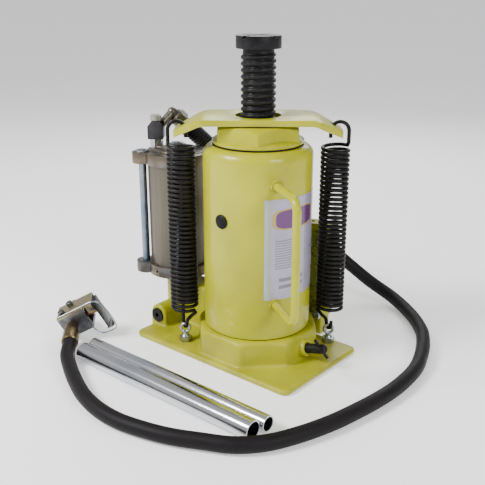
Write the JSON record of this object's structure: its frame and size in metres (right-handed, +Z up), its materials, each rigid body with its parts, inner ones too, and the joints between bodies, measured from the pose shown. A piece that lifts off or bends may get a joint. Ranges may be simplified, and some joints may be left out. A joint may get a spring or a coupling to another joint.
{
  "type": "air hydraulic bottle jack",
  "caption": "Upright bottle jack with extension screw, return springs, air motor, hand pump, air hose and loose handle tubes.",
  "frame": {"origin": "on the floor, under the ram's axis", "axes": "+Z up along the ram; +X along the long side of the base plate, towards the release screw; -Y is the side of the filler plug and the handle tubes"},
  "size_m": [0.3717, 0.4099, 0.328],
  "materials": {
    "yellow_paint": "glossy chartreuse enamel",
    "black_oxide": "satin black oxide",
    "black_spring": "black enamelled spring wire",
    "black_rubber": "matte rubber",
    "hose_rubber": "satin rubber hose",
    "polished_steel": "ground steel",
    "zinc_plate": "bright zinc plate",
    "yellow_zinc": "yellow zinc plate",
    "cast_aluminium": "satin drawn and cast aluminium",
    "spring_steel": "plain spring wire",
    "copper": "dull copper",
    "brass": "dull brass",
    "dark_block": "dark grey coating",
    "grey_plug": "light grey coating",
    "label_film": "silver film with plain bands"
  },
  "bodies": {
    "base": {"base_casting": "yellow_paint", "passage_plug": "black_oxide", "cylinder_gasket": "copper", "pressure_cylinder": "polished_steel", "tank_seal": "black_rubber", "oil_tank": "yellow_paint", "head_seal": "black_rubber", "head_nut": "yellow_paint", "head_o_ring": "black_rubber", "ram_wiper": "black_rubber", "filler_plug": "black_rubber", "carry_handle": "yellow_paint", "label": "label_film", "eye_bolt_left": "zinc_plate", "eye_bolt_right": "zinc_plate", "eye_bolt_nuts": "zinc_plate", "return_spring_left": "black_spring", "return_spring_right": "black_spring", "pump_sleeve": "zinc_plate", "motor_lower_plate": "cast_aluminium", "motor_barrel": "cast_aluminium", "motor_cap": "cast_aluminium", "motor_tie_rods": "zinc_plate", "motor_tie_nuts": "zinc_plate", "motor_spring": "spring_steel", "inlet_neck": "zinc_plate", "swivel_block": "dark_block", "swivel_plug": "grey_plug", "hose_elbow": "grey_plug", "hose_ferrule_jack": "black_oxide", "hand_packing_nut": "black_oxide", "pump_link": "zinc_plate", "link_pins": "zinc_plate", "check_balls": "polished_steel", "air_hose": "hose_rubber", "hose_ferrule_valve": "brass", "valve_body": "zinc_plate", "valve_cover": "yellow_zinc", "valve_screws": "zinc_plate", "valve_inlet": "zinc_plate", "valve_lever_pin": "zinc_plate", "valve_spring": "spring_steel"},
    "ram_assembly": {"ram": "polished_steel", "ram_piston": "polished_steel", "piston_seal": "black_rubber", "yoke_plate": "yellow_paint"},
    "screw_carrier": {"screw_stop_ring": "polished_steel"},
    "extension_screw": {"extension_screw": "black_oxide"},
    "release_valve": {"release_screw": "black_oxide", "release_pin": "black_oxide"},
    "air_piston": {"motor_piston": "polished_steel", "motor_piston_seal": "black_rubber", "air_plunger": "polished_steel"},
    "pump_socket": {"handle_socket": "yellow_paint"},
    "pump_plunger": {"hand_plunger": "polished_steel", "plunger_pin": "polished_steel"},
    "air_lever": {"valve_lever": "zinc_plate"},
    "air_valve_plunger": {"valve_plunger": "copper"},
    "outer_handle": {"handle_outer_tube": "zinc_plate"},
    "inner_handle": {"handle_inner_tube": "zinc_plate"}
  },
  "joints": [
    {"name": "ram_lift", "type": "slide", "parent": "base", "child": "ram_assembly", "axis": [0, 0, 1], "range_m": [0, 0.15], "deforming": ["return_spring_left", "return_spring_right"]},
    {"name": "screw_rise", "type": "slide", "parent": "ram_assembly", "child": "screw_carrier", "axis": [0, 0, 1], "range_m": [-0.064, 0.012]},
    {"name": "screw_turn", "type": "hinge", "parent": "screw_carrier", "child": "extension_screw", "pos_m": [0, 0, 0.316], "axis": [0, 0, 1], "range_deg": [-3700, 690]},
    {"name": "release_turn", "type": "hinge", "parent": "base", "child": "release_valve", "pos_m": [0.061, 0, 0.0175], "axis": [0.9703, 0, 0.2419], "range_deg": [0, 540]},
    {"name": "air_piston_stroke", "type": "slide", "parent": "base", "child": "air_piston", "axis": [0, 0, 1], "range_m": [-0.03, 0], "stiffness_N_per_m": 800, "springref_m": 0.02, "deforming": ["motor_spring"]},
    {"name": "pump_rock", "type": "hinge", "parent": "base", "child": "pump_socket", "pos_m": [0.03, 0.075, 0.112], "axis": [0, 1, 0], "range_deg": [-18, 20]},
    {"name": "pump_plunger_slide", "type": "slide", "parent": "base", "child": "pump_plunger", "axis": [0, 0, 1], "range_m": [-0.0071, 0.0079]},
    {"name": "air_lever_press", "type": "hinge", "parent": "base", "child": "air_lever", "pos_m": [-0.15203, -0.10046, 0.04129], "axis": [-0.7123, 0.6879, 0.1392], "range_deg": [0, 12]},
    {"name": "air_plunger_press", "type": "slide", "parent": "base", "child": "air_valve_plunger", "axis": [-0.6644, -0.597, -0.4496], "range_m": [0, 0.0018], "stiffness_N_per_m": 600, "springref_m": -0.003},
    {"name": "outer_handle_lift", "type": "slide", "parent": "base", "child": "outer_handle", "axis": [0, 0, 1], "range_m": [0, 0.15]},
    {"name": "inner_handle_lift", "type": "slide", "parent": "base", "child": "inner_handle", "axis": [0, 0, 1], "range_m": [0, 0.15]}
  ],
  "couplings": [
    {"joint": "screw_rise", "follows": "screw_turn", "m_per_rad": 0.00098676},
    {"joint": "pump_plunger_slide", "follows": "pump_rock", "m_per_rad": 0.022},
    {"joint": "air_lever_press", "follows": "air_plunger_press", "rad_per_m": 111}
  ]
}
